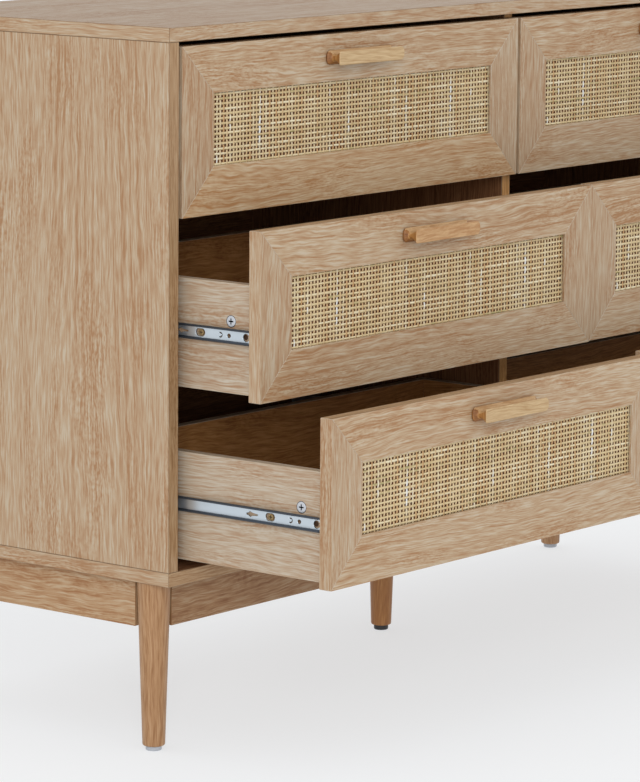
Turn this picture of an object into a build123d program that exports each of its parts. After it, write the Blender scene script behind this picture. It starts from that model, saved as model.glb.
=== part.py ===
from build123d import *
import os

# Six-drawer dresser: an oak-faced board carcass on turned legs, with inset drawer
# fronts that are mitred frames round a cane panel. Millimetres, +Z up, drawers
# open towards -Y. The origin is on the floor, at the middle of the box round the
# dresser with its middle drawers part open and its bottom drawers well open.

os.makedirs("parts", exist_ok=True)

# carcass
WIDTH = 1200.0
DEPTH = 395.0
HEIGHT = 755.0
BOARD = 15.0
UNDERSIDE = 180.0  # floor to the bottom panel
BACK_THICK = 3.0
BACK_INSET = 12.0  # back panel's rear face ahead of the carcass's back edge
BACK_GROOVE = 5.0

# legs and aprons
LEG_TOP_R = 17.5
LEG_FOOT_R = 12.0
LEG_SIDE_INSET = 20.0  # leg axis to the carcass's side face
LEG_FRONT_INSET = 37.0  # leg axis to the front face, and to the back face
SUPPORT_LEG = (40.0, 218.0)  # middle leg: right of centre, behind the front
SUPPORT_FOOT_HIGH = 6.0
GLIDE_HIGH = 5.0
GLIDE_R = 8.5
STUD_R = 3.0
BOLT_R = 4.0
APRON_HIGH = 50.0
APRON_LEG_GAP = 2.0

# drawers
GAP = 5.0  # round every front
FRONT_THICK = 15.0
FRAME_BAR = 50.0  # width of the frame's rails and stiles
CANE_RECESS = 3.0
CANE_THICK = 2.0
REBATE = 8.0
BOX_BOARD = 12.0
BOX_LENGTH = 300.0
BOX_HIGH = 113.0
BOX_ABOVE_FRONT = 6.0  # box's lower edge above the front's lower edge
BOTTOM_UP = 10.0  # drawer bottom above the box's lower edge
BOTTOM_THICK = 3.0
BOTTOM_GROOVE = 5.0
OPEN = {
    "top_left": 0.0,
    "top_right": 0.0,
    "middle_left": 104.0,
    "middle_right": 100.0,
    "bottom_left": 197.0,
    "bottom_right": 178.0,
}

# handles
HANDLE_LONG = 112.5
HANDLE_PROUD = 19.0
HANDLE_BASE = 15.2
HANDLE_FACE = 14.6
HANDLE_WAIST = 9.6
HANDLE_LIP = 2.5  # straight edge beside the waist, front and back
HANDLE_CORNER = 4.0
HANDLE_DROP = 24.5  # handle's middle below the front's upper edge
HANDLE_SCREW_SPAN = 64.0
HANDLE_SCREW_R = 2.0
HANDLE_SCREW_BITE = 9.0

# ball-bearing slides, 10 mm thick, standing off the carcass wall
SLIDE_THICK = 10.0
SLIDE_LONG = 300.0
SLIDE_UP = 65.5  # slide's middle above the front's lower edge
CABINET_START = 17.0  # cabinet member's front end behind the carcass front
SHEET = 1.2
CABINET_HALF = 13.5
CABINET_MOUTH = 7.5
CABINET_LIP = 1.4
MEMBER_HALF = 8.5
MEMBER_MOUTH = 2.6
MEMBER_START = 0.5  # drawer member's front end behind the drawer front
CAGE_SHEET = 0.6
CAGE_HALF = 10.7
CAGE_BACK = 1.6
CAGE_MOUTH = 6.0
CAGE_LONG = 78.0
CAGE_START = 127.0  # cage's front end behind the carcass front, drawer shut
BALL_R = 1.6
BALLS = 5
BALL_OUT = 4.4  # ball centres from the carcass wall
SCREW_R = 1.75
SCREW_HEAD_R = 3.6
SCREW_HEAD_HIGH = 2.0
SCREW_BITE = 7.0
CABINET_SCREWS = (30.0, 262.0)  # behind the member's front end
MEMBER_SCREWS = (65.0, 272.0)
FRONT_HOLE_AT = 5.0
FRONT_HOLE_R = 4.2
SMALL_HOLE_AT = 27.5
SMALL_HOLE_R = 2.2
SLOT_AT = (81.5, 96.5)
SLOT_HALF = 2.5

# cam locks that hold the drawer sides to the front
CAM_R = 6.0
CAM_DEEP = 9.5
CAM_BACK = 27.5  # behind the drawer front
CAM_UP = 14.5  # above the slide's middle
CAM_BOLT_R = 2.5
CAM_BOLT_BITE = 9.0

HANDLE_REACH = OPEN["bottom_left"] + HANDLE_PROUD
FRONT_Y = (HANDLE_REACH - DEPTH) / 2
SIDE_X = WIDTH / 2 - BOARD  # inner face of a side panel
FLOOR_Z = UNDERSIDE + BOARD  # upper face of the bottom panel
CEILING_Z = HEIGHT - BOARD
FRONT_HIGH = (CEILING_Z - FLOOR_Z - 4 * GAP) / 3
FRONT_WIDE = (2 * SIDE_X - 3 * GAP) / 2
ROWS = {"bottom": 0, "middle": 1, "top": 2}
ALONG_X = (1, 0, 0)
ALONG_Y = (0, 1, 0)
ALONG_Z = (0, 0, 1)


def bar(x, y, z):
    """A block between a low and a high value on each axis."""
    sizes = [high - low for low, high in (x, y, z)]
    return Pos(x[0], y[0], z[0]) * Box(*sizes, align=(Align.MIN,) * 3)


def block(x, depth, z):
    """A block whose second pair is its depth behind the carcass's front face."""
    return bar(x, (FRONT_Y + depth[0], FRONT_Y + depth[1]), z)


def rod(radius, start, direction, length, end_radius=None):
    """A round bar or a cone from a start point."""
    plane = Plane(origin=start, z_dir=direction)
    if end_radius is None:
        return Solid.make_cylinder(radius, length, plane)
    return Solid.make_cone(radius, end_radius, length, plane)


def save(name, *shapes):
    """Write a sub-part, one or more separate solids, to its STEP file."""
    solids = [solid for shape in shapes for solid in shape.solids()]
    export_step(Compound(solids), f"parts/{name}.step")


def cut(shape, tools):
    """Take every tool out of a shape."""
    for tool in tools:
        shape = shape - tool
    return shape


def on_wall(shape, wall_x, facing, depth, z):
    """Stand a slide piece, made facing +X from x = 0, on a carcass wall."""
    turned = shape if facing > 0 else mirror(shape, about=Plane.YZ)
    return Pos(wall_x, FRONT_Y + depth, z) * turned


def channel(back, mouth, half, sheet, lip, length):
    """A folded sheet channel: web at back, open at mouth, with inturned lips."""
    way = 1 if mouth > back else -1
    inner = half - sheet
    web = back + way * sheet
    shape = bar(sorted((back, mouth)), (0, length), (-half, half))
    shape -= bar(sorted((web, mouth - way * sheet)), (0, length), (-inner, inner))
    shape -= bar(sorted((web, mouth)), (0, length), (lip - inner, inner - lip))
    return shape


def cabinet_screw(at):
    """Countersunk screw through the cabinet member's web into the wall."""
    shank = rod(SCREW_R, (-SCREW_BITE, at, 0), ALONG_X, SCREW_BITE)
    return shank + rod(SCREW_R, (0, at, 0), ALONG_X, SHEET, SCREW_HEAD_R)


def member_screw(at):
    """Pan-head screw through the drawer member's web into the drawer side."""
    inner_face = SLIDE_THICK - SHEET
    head = rod(SCREW_HEAD_R, (inner_face - SCREW_HEAD_HIGH, at, 0), ALONG_X, SCREW_HEAD_HIGH)
    return head + rod(SCREW_R, (inner_face, at, 0), ALONG_X, SHEET + SCREW_BITE)


def cabinet_member():
    shape = channel(0, CABINET_MOUTH, CABINET_HALF, SHEET, CABINET_LIP, SLIDE_LONG)
    return cut(shape, [cabinet_screw(at) for at in CABINET_SCREWS])


def drawer_member():
    shape = channel(SLIDE_THICK, MEMBER_MOUTH, MEMBER_HALF, SHEET, 0, SLIDE_LONG)
    web = (SLIDE_THICK - SHEET, SLIDE_THICK)
    start = web[0] - 1
    holes = [
        rod(FRONT_HOLE_R, (start, FRONT_HOLE_AT, 0), ALONG_X, SHEET + 2),
        rod(SMALL_HOLE_R, (start, SMALL_HOLE_AT, 0), ALONG_X, SHEET + 2),
    ]
    holes.append(bar(web, SLOT_AT, (-SLOT_HALF, SLOT_HALF)))
    return cut(shape, holes + [member_screw(at) for at in MEMBER_SCREWS])


def ball_cage():
    """A folded strip that carries a row of balls in each race."""
    shape = channel(CAGE_BACK, CAGE_MOUTH, CAGE_HALF, CAGE_SHEET, 0, CAGE_LONG)
    race = CAGE_HALF - CAGE_SHEET / 2
    for number in range(BALLS):
        along = CAGE_LONG * (number + 0.5) / BALLS
        for z in (-race, race):
            shape += Pos(BALL_OUT, along, z) * Sphere(BALL_R)
    return shape


def front_member(corners, rebate):
    """A mitred bar of a drawer front, with the rebate for the cane cut behind."""
    points = [(x, 0, z) for x, z in corners]
    face = make_face(Polyline(*points, close=True))
    return extrude(face, amount=FRONT_THICK, dir=ALONG_Y) - rebate


def handle(x, z):
    """A solid bar with a hollowed waist above and below, and rounded corners."""
    base, face, waist = HANDLE_BASE / 2, HANDLE_FACE / 2, HANDLE_WAIST / 2
    root, tip = -HANDLE_LIP, HANDLE_LIP - HANDLE_PROUD
    middle = (root + tip) / 2
    lines = []
    for up in (1, -1):
        lines += Polyline((0, 0, up * base), (0, root, up * base)).edges()
        lines += ThreePointArc((0, root, up * base), (0, middle, up * waist), (0, tip, up * face)).edges()
        lines += Polyline((0, tip, up * face), (0, -HANDLE_PROUD, up * face)).edges()
    lines += Polyline((0, 0, -base), (0, 0, base)).edges()
    lines += Polyline((0, -HANDLE_PROUD, -face), (0, -HANDLE_PROUD, face)).edges()
    profile = make_face(Wire.combine(lines)[0])
    length = Pos(-HANDLE_LONG / 2, 0, 0) * extrude(profile, amount=HANDLE_LONG, dir=ALONG_X)
    plane = Plane(origin=(0, 0, 0), x_dir=ALONG_X, z_dir=(0, -1, 0))
    outline = plane * RectangleRounded(HANDLE_LONG, HANDLE_BASE, HANDLE_CORNER)
    return Pos(x, 0, z) * (length & extrude(outline, amount=HANDLE_PROUD))


# carcass panels
outer_x = (-WIDTH / 2, WIDTH / 2)
panel_depth = (0, DEPTH)
wall_z = (FLOOR_Z, CEILING_Z)
back_depth = (DEPTH - BACK_INSET - BACK_THICK, DEPTH - BACK_INSET)
back_panel = block(
    (-SIDE_X - BACK_GROOVE, SIDE_X + BACK_GROOVE),
    back_depth,
    (FLOOR_Z - BACK_GROOVE, CEILING_Z + BACK_GROOVE),
)
slide_z = {row: FLOOR_Z + GAP + number * (FRONT_HIGH + GAP) + SLIDE_UP for row, number in ROWS.items()}
walls = [(-SIDE_X, 1), (-BOARD / 2, -1), (BOARD / 2, 1), (SIDE_X, -1)]
cabinet_slides = []
cabinet_screws = []
for wall_x, facing in walls:
    for z in slide_z.values():
        cabinet_slides.append(on_wall(cabinet_member(), wall_x, facing, CABINET_START, z))
        for at in CABINET_SCREWS:
            cabinet_screws.append(on_wall(cabinet_screw(at), wall_x, facing, CABINET_START, z))

leg_points = [
    (side * (WIDTH / 2 - LEG_SIDE_INSET), depth)
    for depth in (LEG_FRONT_INSET, DEPTH - LEG_FRONT_INSET)
    for side in (-1, 1)
]
leg_bolts = [
    rod(BOLT_R, (x, FRONT_Y + depth, UNDERSIDE - 35), ALONG_Z, 47)
    for x, depth in leg_points + [SUPPORT_LEG]
]

bottom_panel = cut(block(outer_x, panel_depth, (UNDERSIDE, FLOOR_Z)), leg_bolts)
save("top_panel", block(outer_x, panel_depth, (CEILING_Z, HEIGHT)) - back_panel)
save("bottom_panel", bottom_panel - back_panel)
save("back_panel", back_panel)
for name, side in (("left_side_panel", -1), ("right_side_panel", 1)):
    span = sorted((side * SIDE_X, side * WIDTH / 2))
    nearby = [screw for screw in cabinet_screws if screw.center().X * side > WIDTH / 4]
    save(name, cut(block(span, panel_depth, wall_z), [back_panel] + nearby))
divider_depth = (FRONT_THICK + 1, back_depth[0])
nearby = [screw for screw in cabinet_screws if abs(screw.center().X) < WIDTH / 4]
save("centre_divider", cut(block((-BOARD / 2, BOARD / 2), divider_depth, wall_z), nearby))
save("cabinet_slides", *cabinet_slides)
save("carcass_fasteners", *(leg_bolts + cabinet_screws))

# aprons between the legs, under the bottom panel
apron_z = (UNDERSIDE - APRON_HIGH, UNDERSIDE)
clear = LEG_TOP_R + APRON_LEG_GAP
apron_x = WIDTH / 2 - LEG_SIDE_INSET - clear
for name, depth in (("front_apron", LEG_FRONT_INSET), ("rear_apron", DEPTH - LEG_FRONT_INSET)):
    save(name, block((-apron_x, apron_x), (depth - BOARD / 2, depth + BOARD / 2), apron_z))
side_aprons = []
for side in (-1, 1):
    middle = side * (WIDTH / 2 - LEG_SIDE_INSET)
    apron_depth = (LEG_FRONT_INSET + clear, DEPTH - LEG_FRONT_INSET - clear)
    side_aprons.append(block((middle - BOARD / 2, middle + BOARD / 2), apron_depth, apron_z))
save("side_aprons", *side_aprons)


# legs
def leg(x, depth, foot_z):
    length = UNDERSIDE - foot_z
    return rod(LEG_FOOT_R, (x, FRONT_Y + depth, foot_z), ALONG_Z, length, LEG_TOP_R)


legs = [leg(x, depth, GLIDE_HIGH) for x, depth in leg_points]
save("front_legs", cut(legs[0], leg_bolts), cut(legs[1], leg_bolts))
save("rear_legs", cut(legs[2], leg_bolts), cut(legs[3], leg_bolts))
save("leg_glides", *[rod(GLIDE_R, (x, FRONT_Y + depth, 0), ALONG_Z, GLIDE_HIGH) for x, depth in leg_points])
support_x, support_depth = SUPPORT_LEG
foot = rod(GLIDE_R, (support_x, FRONT_Y + support_depth, 0), ALONG_Z, SUPPORT_FOOT_HIGH)
foot = foot + rod(STUD_R, (support_x, FRONT_Y + support_depth, SUPPORT_FOOT_HIGH), ALONG_Z, 25)
save("support_leg_foot", foot)
support = leg(support_x, support_depth, SUPPORT_FOOT_HIGH)
save("centre_support_leg", cut(support, [foot] + leg_bolts))


def make_drawer(name, opening):
    """The seven sub-parts of one drawer, at its place when opened this far."""
    row, column = name.split("_")
    side = -1 if column == "left" else 1
    low_z = FLOOR_Z + GAP + ROWS[row] * (FRONT_HIGH + GAP)
    top_z = low_z + FRONT_HIGH
    near_x = side * GAP / 2
    far_x = side * (GAP / 2 + FRONT_WIDE)
    left, right = sorted((near_x, far_x))
    middle_x = (left + right) / 2
    front = FRONT_Y - opening
    rear = front + FRONT_THICK
    slide_at = low_z + SLIDE_UP
    box_walls = sorted((side * (BOARD / 2 + SLIDE_THICK), side * (SIDE_X - SLIDE_THICK)))
    sides = [(box_walls[0], 1), (box_walls[1], -1)]

    # fixings: cam locks with their bolts, slide screws, handle screws
    cams, cam_bolts, slide_screws, handle_screws = [], [], [], []
    for outer, inward in sides:
        cam_z = slide_at + CAM_UP
        cams.append(rod(CAM_R, (outer, rear + CAM_BACK, cam_z), (inward, 0, 0), CAM_DEEP))
        bolt_start = (outer + inward * BOX_BOARD / 2, rear - CAM_BOLT_BITE, cam_z)
        bolt_long = CAM_BOLT_BITE + CAM_BACK - CAM_R - 0.5
        cam_bolts.append(rod(CAM_BOLT_R, bolt_start, ALONG_Y, bolt_long))
        wall_x = outer - inward * SLIDE_THICK
        for at in MEMBER_SCREWS:
            depth = rear + MEMBER_START - FRONT_Y
            slide_screws.append(on_wall(member_screw(at), wall_x, inward, depth, slide_at))
    handle_z = top_z - HANDLE_DROP
    for x in (middle_x - HANDLE_SCREW_SPAN / 2, middle_x + HANDLE_SCREW_SPAN / 2):
        shank = rod(HANDLE_SCREW_R, (x, front - HANDLE_SCREW_BITE, handle_z), ALONG_Y,
                    HANDLE_SCREW_BITE + FRONT_THICK)
        head = rod(SCREW_HEAD_R, (x, rear, handle_z), ALONG_Y, SCREW_HEAD_HIGH)
        handle_screws.append(shank + head)
    save(f"{name}_fixings", *(cams + cam_bolts + slide_screws + handle_screws))

    # front: four mitred bars round the cane and its backing board
    opening_x = (left + FRAME_BAR, right - FRAME_BAR)
    opening_z = (low_z + FRAME_BAR, top_z - FRAME_BAR)
    infill_x = (opening_x[0] - REBATE, opening_x[1] + REBATE)
    infill_z = (opening_z[0] - REBATE, opening_z[1] + REBATE)
    rebate = bar(infill_x, (CANE_RECESS, FRONT_THICK), infill_z)
    outer_corners = [(left, low_z), (right, low_z), (right, top_z), (left, top_z)]
    inner_corners = [
        (opening_x[0], opening_z[0]),
        (opening_x[1], opening_z[0]),
        (opening_x[1], opening_z[1]),
        (opening_x[0], opening_z[1]),
    ]
    members = []
    for number in range(4):
        after = (number + 1) % 4
        corners = [outer_corners[number], outer_corners[after], inner_corners[after], inner_corners[number]]
        member = Pos(0, front, 0) * front_member(corners, rebate)
        members.append(cut(member, cam_bolts + handle_screws))
    save(f"{name}_front_frame", *members)
    cane_y = (front + CANE_RECESS, front + CANE_RECESS + CANE_THICK)
    cane = bar(infill_x, cane_y, infill_z)
    backing = bar(infill_x, (cane_y[1], rear), infill_z)
    save(f"{name}_cane_panel", cane, backing)
    bar_handle = Pos(0, front, 0) * handle(middle_x, handle_z)
    save(f"{name}_handle", cut(bar_handle, handle_screws))

    # box: two sides, a back between them and a thin bottom in grooves
    box_z = (low_z + BOX_ABOVE_FRONT, low_z + BOX_ABOVE_FRONT + BOX_HIGH)
    box_y = (rear, rear + BOX_LENGTH)
    back_y = (box_y[1] - BOX_BOARD, box_y[1])
    inside = (box_walls[0] + BOX_BOARD, box_walls[1] - BOX_BOARD)
    base_x = (inside[0] - BOTTOM_GROOVE, inside[1] + BOTTOM_GROOVE)
    base_z = (box_z[0] + BOTTOM_UP, box_z[0] + BOTTOM_UP + BOTTOM_THICK)
    base = bar(base_x, (rear, back_y[0] + BOTTOM_GROOVE), base_z)
    pieces = [base, bar(inside, back_y, box_z) - base]
    for outer, inward in sides:
        board = bar(sorted((outer, outer + inward * BOX_BOARD)), box_y, box_z)
        pieces.append(cut(board, [base] + cams + cam_bolts + slide_screws))
    save(f"{name}_drawer_box", *pieces)

    # running gear: a member on each side, and the cages half as far out
    slide_members = []
    cages = []
    for outer, inward in sides:
        wall_x = outer - inward * SLIDE_THICK
        member_depth = FRONT_THICK + MEMBER_START - opening
        cage_depth = CAGE_START - opening / 2
        slide_members.append(on_wall(drawer_member(), wall_x, inward, member_depth, slide_at))
        cages.append(on_wall(ball_cage(), wall_x, inward, cage_depth, slide_at))
    save(f"{name}_slide_members", *slide_members)
    save(f"{name}_ball_cages", *cages)


for drawer_name, opened in OPEN.items():
    make_drawer(drawer_name, opened)
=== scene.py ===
import bmesh
import bpy
import math
import random
from mathutils import Matrix, Vector


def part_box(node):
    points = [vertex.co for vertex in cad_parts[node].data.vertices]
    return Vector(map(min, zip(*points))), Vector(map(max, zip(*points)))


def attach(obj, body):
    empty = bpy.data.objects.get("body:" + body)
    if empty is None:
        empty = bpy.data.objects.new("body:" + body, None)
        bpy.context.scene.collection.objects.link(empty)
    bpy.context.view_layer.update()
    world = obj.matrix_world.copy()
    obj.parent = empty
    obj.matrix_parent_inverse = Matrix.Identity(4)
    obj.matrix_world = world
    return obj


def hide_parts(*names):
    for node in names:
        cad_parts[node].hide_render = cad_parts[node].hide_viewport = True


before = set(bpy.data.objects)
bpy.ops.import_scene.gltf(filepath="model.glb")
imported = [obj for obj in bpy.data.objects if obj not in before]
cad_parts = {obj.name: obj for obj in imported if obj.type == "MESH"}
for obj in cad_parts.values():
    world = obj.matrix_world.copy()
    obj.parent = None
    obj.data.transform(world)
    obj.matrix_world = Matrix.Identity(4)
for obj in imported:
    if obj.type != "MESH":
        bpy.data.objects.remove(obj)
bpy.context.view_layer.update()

# ---------------------------------------------------------------------------
# Carcass boards. 15 mm particle board faced with light oak foil and banded along
# every edge with the same foil. The top and bottom lap over the sides, and the
# divider stands between them just behind the drawer fronts.
# ---------------------------------------------------------------------------
MM = 0.001
ARRIS = 0.6 * MM  # softened corner of a banded edge
OAK_PALE = (0.460, 0.376, 0.272, 1)
OAK_MIDDLE = (0.412, 0.286, 0.176, 1)
OAK_STREAK = (0.322, 0.172, 0.080, 1)
OAK_WORN_AND_HIGHLIT = (0.490, 0.410, 0.310, 1)


def node(tree, kind, inputs=(), **settings):
    """Add a shader node. An input is a plain value or another node's output."""
    made = tree.nodes.new("ShaderNode" + kind)
    for key, value in settings.items():
        setattr(made, key, value)
    for key, value in dict(inputs).items():
        if isinstance(value, bpy.types.NodeSocket):
            tree.links.new(value, made.inputs[key])
        else:
            made.inputs[key].default_value = value
    return made


def math_node(tree, operation, first, second=0.0, third=0.0):
    return node(tree, "Math", {0: first, 1: second, 2: third}, operation=operation).outputs[0]


def stretched_noise(tree, where, scale, detail=2.0, low=0.0, high=1.0):
    """Noise drawn out along the grain, spread over 0 to 1 between low and high."""
    place = node(tree, "Mapping", {"Vector": where, "Scale": (*scale, 1.0)}).outputs[0]
    raw = node(tree, "TexNoise", {"Vector": place, "Scale": 1.0, "Detail": detail}).outputs["Fac"]
    return node(tree, "MapRange", {0: raw, 1: low, 2: high}).outputs[0]


def mixed(tree, share, first, second, blend="MIX"):
    return node(tree, "Mix", {0: share, 6: first, 7: second}, data_type="RGBA", blend_type=blend).outputs[2]


def grained_wood(name, pale, middle, streak, spread=1.0, rings=0.30, ring=11.0 * MM, rough=0.46, coat=0.0,
                 flecks=0.52, level=0.0):
    """Wood or wood foil whose grain runs along u of the piece's own grain map.

    Short wavy lines lie over broad bands of tone, with growth rings that come and
    go and patches of small flecks, all bent by the same slow drift of the grain.
    """
    finish = bpy.data.materials.new(name)
    finish.use_nodes = True
    tree = finish.node_tree
    where = node(tree, "UVMap", uv_map="grain").outputs["UV"]
    parts = node(tree, "SeparateXYZ", {0: where})
    slow = stretched_noise(tree, where, (1.5, 7.0), 1.0)
    wobble = stretched_noise(tree, where, (17.0, 55.0), 2.0)
    ripple = stretched_noise(tree, where, (75.0, 200.0), 2.0)
    line = math_node(tree, "MULTIPLY_ADD", slow, 60.0 * MM, parts.outputs[1])
    line = math_node(tree, "MULTIPLY_ADD", wobble, 8.0 * MM, line)
    line = math_node(tree, "MULTIPLY_ADD", ripple, 1.4 * MM, line)
    bent = node(tree, "CombineXYZ", {0: parts.outputs[0], 1: line}).outputs[0]
    bands = stretched_noise(tree, bent, (1.6, 60.0 / spread), 2.0, 0.30, 0.70)
    lines = stretched_noise(tree, bent, (5.5, 310.0 / spread), 3.0, 0.31, 0.69)
    patch = stretched_noise(tree, bent, (6.0, 26.0), 1.0, 0.44, 0.74)
    marks = stretched_noise(tree, bent, (160.0, 460.0 / spread), 1.0, 0.42, 0.68)
    fine = stretched_noise(tree, bent, (36.0, 640.0), 2.0, 0.34, 0.66)
    fade = stretched_noise(tree, where, (1.9, 13.0), 1.0, 0.44, 0.64)
    turn = math_node(tree, "FRACT", math_node(tree, "DIVIDE", math_node(tree, "MULTIPLY_ADD", lines, 1.6 * MM, line),
                                              ring))
    edge = node(tree, "ValToRGB", {0: turn})
    ramp = edge.color_ramp
    ramp.elements[0].color = (0, 0, 0, 1)
    ramp.elements[1].color = (0, 0, 0, 1)
    for place, value in ((0.45, 0.15), (0.80, 1.0), (0.92, 0.4)):
        ramp.elements.new(place).color = (value, value, value, 1)
    ringed = math_node(tree, "MULTIPLY", edge.outputs[0], math_node(tree, "MULTIPLY", fade, rings))
    flecked = math_node(tree, "MULTIPLY", marks, math_node(tree, "MULTIPLY", patch, flecks))
    tone = math_node(tree, "MULTIPLY_ADD", bands, 0.14, level)
    tone = math_node(tree, "MULTIPLY_ADD", lines, 0.34, tone)
    tone = math_node(tree, "ADD", tone, ringed)
    tone = math_node(tree, "ADD", tone, flecked)
    tone = math_node(tree, "MULTIPLY_ADD", fine, 0.60, tone)
    shade = node(tree, "ValToRGB", {0: tone})
    ramp = shade.color_ramp
    ramp.elements[0].position, ramp.elements[0].color = 0.22, pale
    ramp.elements[1].position, ramp.elements[1].color = 1.05, streak
    ramp.elements.new(0.55).color = middle
    shader = tree.nodes["Principled BSDF"]
    tree.links.new(shade.outputs[0], shader.inputs["Base Color"])
    worn = math_node(tree, "MULTIPLY_ADD", tone, 0.12, rough)
    tree.links.new(worn, shader.inputs["Roughness"])
    shader.inputs["Specular IOR Level"].default_value = 0.40
    shader.inputs["Coat Weight"].default_value = coat
    shader.inputs["Coat Roughness"].default_value = 0.07
    bump = node(tree, "Bump", {"Height": tone, "Strength": 0.30, "Distance": 0.15 * MM}, invert=True).outputs[0]
    tree.links.new(bump, shader.inputs["Normal"])
    return finish


def plank(bm, low, high):
    """A square-edged board between two corners."""
    low, high = Vector(low), Vector(high)
    verts = bmesh.ops.create_cube(bm, size=1.0)["verts"]
    size = high - low
    bmesh.ops.scale(bm, vec=size, verts=verts)
    bmesh.ops.translate(bm, vec=(low + high) / 2, verts=verts)
    return verts


def soften(bm, width, segments=2, edges=None):
    """Round the corners of a piece a little, as sanding and edge banding do."""
    bmesh.ops.bevel(bm, geom=edges or bm.edges[:], offset=width, segments=segments, affect="EDGES",
                    profile=0.5, material=-1, clamp_overlap=True)


def lay_grain(bm, along, chance, faces=None):
    """Give each face its own cut of foil: u runs along the grain, v across it."""
    layer = bm.loops.layers.uv.get("grain") or bm.loops.layers.uv.new("grain")
    cuts = {}
    for face in faces or bm.faces:
        normal = face.normal
        main = max(range(3), key=lambda axis: abs(normal[axis]))
        others = [axis for axis in range(3) if axis != main]
        if along in others:
            u_axis = along
        else:
            spans = [max(v.co[a] for v in face.verts) - min(v.co[a] for v in face.verts) for a in others]
            u_axis = others[0] if spans[0] > spans[1] else others[1]
        v_axis = 3 - main - u_axis
        key = (main, normal[main] > 0)
        if key not in cuts:
            cuts[key] = (chance.uniform(0, 9), chance.uniform(0, 9))
        for loop in face.loops:
            place = loop.vert.co
            loop[layer].uv = (place[u_axis] + cuts[key][0], place[v_axis] + cuts[key][1])


def hand_over(name, bm, body, finishes, replaced=(), smooth=False):
    """Turn a finished bmesh into a piece that rides on its body."""
    bmesh.ops.recalc_face_normals(bm, faces=bm.faces[:])
    for face in bm.faces:
        face.smooth = smooth
    mesh = bpy.data.meshes.new(name)
    bm.to_mesh(mesh)
    bm.free()
    for finish in finishes:
        mesh.materials.append(finish)
    piece = bpy.data.objects.new(name, mesh)
    bpy.context.scene.collection.objects.link(piece)
    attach(piece, body)
    if replaced:
        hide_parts(*replaced)
    return piece


def mark_arris(bm, index=1):
    """The softened corners take the second finish: on the drawer boxes a paler foil, part wear and part painted
    highlight; on the carcass a darker seam foil.
    """
    for face in bm.faces:
        if max(abs(part) for part in face.normal) < 0.98:
            face.material_index = index


oak_foil = grained_wood("oak_foil", OAK_PALE, OAK_MIDDLE, OAK_STREAK)
# A paler foil for softened corners: part wear, part painted highlight.
oak_arris_wear_and_highlight = grained_wood("oak_arris_wear_and_highlight", OAK_WORN_AND_HIGHLIT, OAK_PALE, OAK_MIDDLE, rings=0.1)
edge_band = grained_wood("edge_band", (0.395, 0.262, 0.145, 1), (0.340, 0.205, 0.102, 1), (0.240, 0.128, 0.052, 1),
                         spread=0.7)
foil_seam = grained_wood("foil_seam", (0.300, 0.205, 0.122, 1), (0.250, 0.160, 0.088, 1), (0.190, 0.105, 0.048, 1),
                         rings=0.1)
# Painted light: a brighter, more orange copy of the edge band, standing in for warm light in the gap between the
# drawers.
divider_edge_painted_light = grained_wood("divider_edge_painted_light", (0.640, 0.370, 0.150, 1), (0.560, 0.295, 0.105, 1),
                            (0.420, 0.200, 0.060, 1), spread=0.7)
# Painted shade: a warmer, darker copy of the oak foil for the side aprons under the bottom panel.
side_apron_painted_shade = grained_wood("side_apron_painted_shade", (0.455, 0.335, 0.215, 1), (0.390, 0.240, 0.125, 1), (0.285, 0.130, 0.048, 1))
# Painted shade: a darker copy of the oak foil for the aprons under the bottom panel.
front_apron_painted_shade = grained_wood("front_apron_painted_shade", (0.332, 0.215, 0.120, 1), (0.274, 0.148, 0.065, 1),
                                (0.190, 0.078, 0.026, 1))
# Painted shade: a darker, greyer copy of the oak foil for the top face.
top_painted_shade = grained_wood("top_painted_shade", (0.415, 0.342, 0.262, 1), (0.370, 0.262, 0.172, 1), (0.292, 0.162, 0.082, 1))
# Painted shade: a dark brown standing in for the foil in deep shade inside the cabinet and drawers.
inner_painted_shade = grained_wood("inner_painted_shade", (0.270, 0.130, 0.058, 1), (0.195, 0.084, 0.034, 1),
                           (0.110, 0.040, 0.014, 1), rough=0.5)
ALONG_X, ALONG_Y, ALONG_Z = 0, 1, 2
carcass_boards = {
    "top_panel": (ALONG_X, [(0, 0, -1)]),
    "bottom_panel": (ALONG_X, [(0, 0, 1)]),
    "left_side_panel": (ALONG_Z, [(1, 0, 0)]),
    "right_side_panel": (ALONG_Z, [(-1, 0, 0)]),
    "centre_divider": (ALONG_Z, [(1, 0, 0), (-1, 0, 0)]),
    "front_apron": (ALONG_X, []),
    "rear_apron": (ALONG_X, []),
}
for seed, (board, (grain, inward)) in enumerate(carcass_boards.items()):
    bm = bmesh.new()
    plank(bm, *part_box(board))
    soften(bm, ARRIS)
    bm.normal_update()
    lay_grain(bm, grain, random.Random(seed))
    mark_arris(bm)
    for face in bm.faces:
        if (grain == ALONG_Z or board == "bottom_panel") and face.normal.y < -0.99:
            face.material_index = 2
        # Faces turned into the cabinet take the dark brown of painted shade.
        if any(face.normal.dot(Vector(way)) > 0.99 for way in inward):
            face.material_index = 3
        # The top face takes the darker copy of the foil: painted shade.
        if board == "top_panel" and face.normal.z > 0.99:
            face.material_index = 4
    finishes = [oak_foil, foil_seam, edge_band, inner_painted_shade]
    # The front and rear aprons take the darker copy of the foil: painted shade.
    if "apron" in board:
        finishes[0] = finishes[1] = front_apron_painted_shade
    if board == "top_panel":
        finishes.append(top_painted_shade)
    # The divider's front edge takes the brighter band: painted light.
    if board == "centre_divider":
        finishes[2] = divider_edge_painted_light
    hand_over(board + "_foiled", bm, "carcass", finishes, [board])

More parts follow.
